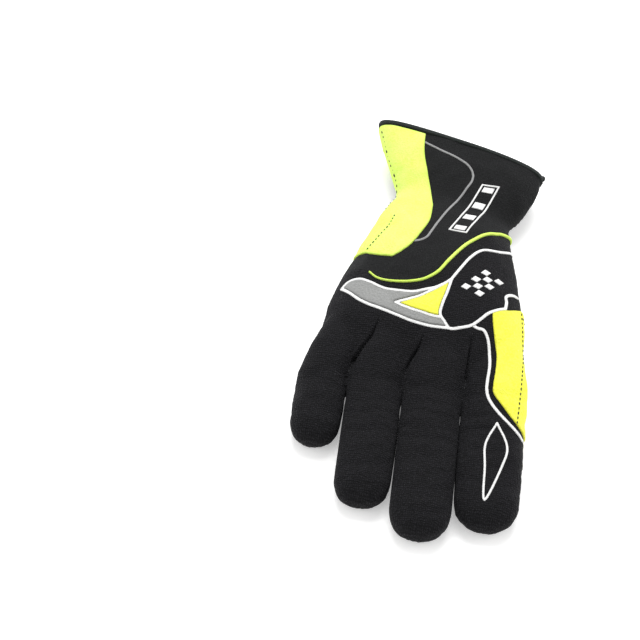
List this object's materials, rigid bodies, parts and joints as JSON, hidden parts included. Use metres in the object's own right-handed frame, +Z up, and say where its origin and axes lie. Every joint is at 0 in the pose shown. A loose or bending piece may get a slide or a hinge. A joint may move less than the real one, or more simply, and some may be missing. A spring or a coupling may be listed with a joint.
{
  "type": "karting glove",
  "caption": "Right-hand full-finger karting glove with a flared cuff, lying palm down with its thumb folded under the palm.",
  "frame": {"origin": "middle of the bounding box in plan, on the surface that the glove lies on", "axes": "-Y towards the fingertips, +Y towards the open cuff, +X towards the index finger, +Z up, with the back of the hand on top"},
  "size_m": [0.1192, 0.2526, 0.0351],
  "materials": {
    "knit": "matt black brushed knit",
    "suede": "dark grey suede",
    "lime_trim": "matt fluorescent lime cloth",
    "yellow_trim": "matt fluorescent yellow cloth",
    "grey_trim": "matt mid-grey cloth",
    "grey_print": "thin grey raised print",
    "white_print": "thin white raised print",
    "binding": "dark woven tape"
  },
  "bodies": {
    "root": {"back_of_hand": "knit", "cuff_back": "knit", "palm": "suede", "cuff_palm": "knit", "thumb_back": "knit", "thumb_palm": "suede", "fourchette_little": "knit", "fourchette_middle": "knit", "fourchette_index": "knit", "cuff_binding": "binding", "wrist_strap": "lime_trim", "strap_end": "lime_trim", "strap_trim": "grey_print", "cuff_piping": "lime_trim", "knuckle_band": "grey_trim", "knuckle_insert": "yellow_trim", "knuckle_outline": "white_print", "index_panel": "yellow_trim", "index_outline": "white_print"}
  },
  "joints": []
}
